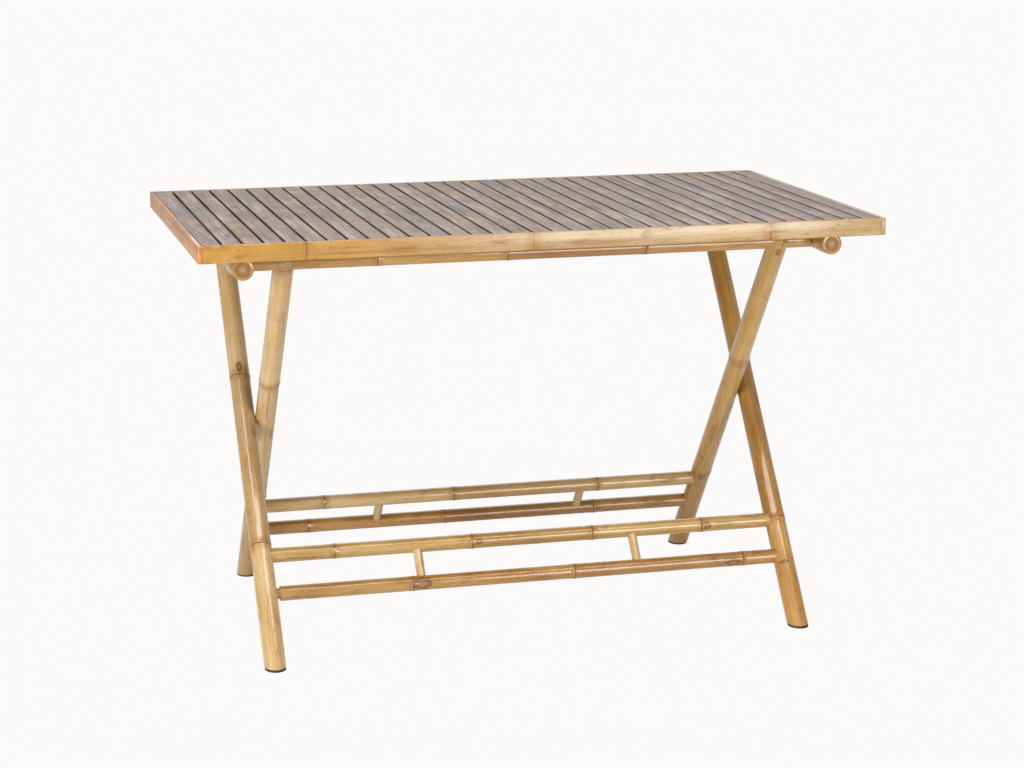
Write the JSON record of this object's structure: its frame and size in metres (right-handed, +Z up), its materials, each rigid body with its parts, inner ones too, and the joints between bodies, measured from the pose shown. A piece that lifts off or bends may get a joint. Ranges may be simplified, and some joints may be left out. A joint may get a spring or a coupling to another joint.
{
  "type": "folding table",
  "caption": "Folding dining table with a slatted bamboo top on two crossed frames of bamboo poles joined by stretchers.",
  "frame": {"origin": "on the floor, under the middle of the top", "axes": "+X along the top to the right, +Y from the front edge to the rear edge, +Z up"},
  "size_m": [1.2, 0.7, 0.75],
  "materials": {
    "slat_stained": "stained bamboo, lacquered satin",
    "edge_strip": "lacquered bamboo",
    "batten": "plain sawn wood",
    "bamboo_pole": "lacquered bamboo pole",
    "end_grain": "end grain",
    "steel": "zinc plated",
    "foot_pad": "matt"
  },
  "bodies": {
    "top": {"slat_01": "slat_stained", "slat_02": "slat_stained", "slat_03": "slat_stained", "slat_04": "slat_stained", "slat_05": "slat_stained", "slat_06": "slat_stained", "slat_07": "slat_stained", "slat_08": "slat_stained", "slat_09": "slat_stained", "slat_10": "slat_stained", "slat_11": "slat_stained", "slat_12": "slat_stained", "slat_13": "slat_stained", "slat_14": "slat_stained", "slat_15": "slat_stained", "slat_16": "slat_stained", "slat_17": "slat_stained", "slat_18": "slat_stained", "slat_19": "slat_stained", "slat_20": "slat_stained", "slat_21": "slat_stained", "slat_22": "slat_stained", "slat_23": "slat_stained", "slat_24": "slat_stained", "slat_25": "slat_stained", "slat_26": "slat_stained", "slat_27": "slat_stained", "slat_28": "slat_stained", "slat_29": "slat_stained", "slat_30": "slat_stained", "slat_31": "slat_stained", "slat_32": "slat_stained", "slat_33": "slat_stained", "slat_34": "slat_stained", "front_edge_strip": "edge_strip", "rear_edge_strip": "edge_strip", "left_edge_strip": "edge_strip", "right_edge_strip": "edge_strip", "front_batten": "batten", "rear_batten": "batten", "left_crossbar": "bamboo_pole", "right_crossbar": "bamboo_pole", "crossbar_plugs": "end_grain", "crossbar_screws": "steel"},
    "inner_frame": {"inner_leg_left": "bamboo_pole", "inner_leg_right": "bamboo_pole", "front_axle_bar": "bamboo_pole", "rear_upper_stretcher": "bamboo_pole", "rear_lower_stretcher": "bamboo_pole", "rear_spacers": "bamboo_pole", "inner_foot_pads": "foot_pad"},
    "outer_frame": {"outer_leg_left": "bamboo_pole", "outer_leg_right": "bamboo_pole", "rear_top_bar": "bamboo_pole", "front_upper_stretcher": "bamboo_pole", "front_lower_stretcher": "bamboo_pole", "front_spacers": "bamboo_pole", "outer_foot_pads": "foot_pad", "pivot_bolts": "steel", "pivot_nuts": "steel"}
  },
  "joints": [
    {"name": "inner_frame_swing", "type": "hinge", "parent": "top", "child": "inner_frame", "pos_m": [0, -0.24, 0.7], "axis": [1, 0, 0], "range_deg": [0, 48]},
    {"name": "leg_fold", "type": "hinge", "parent": "inner_frame", "child": "outer_frame", "pos_m": [0, 0.0115, 0.377], "axis": [-1, 0, 0], "range_deg": [0, 96]}
  ],
  "couplings": [
    {"joint": "inner_frame_swing", "follows": "leg_fold", "ratio": 0.5}
  ]
}
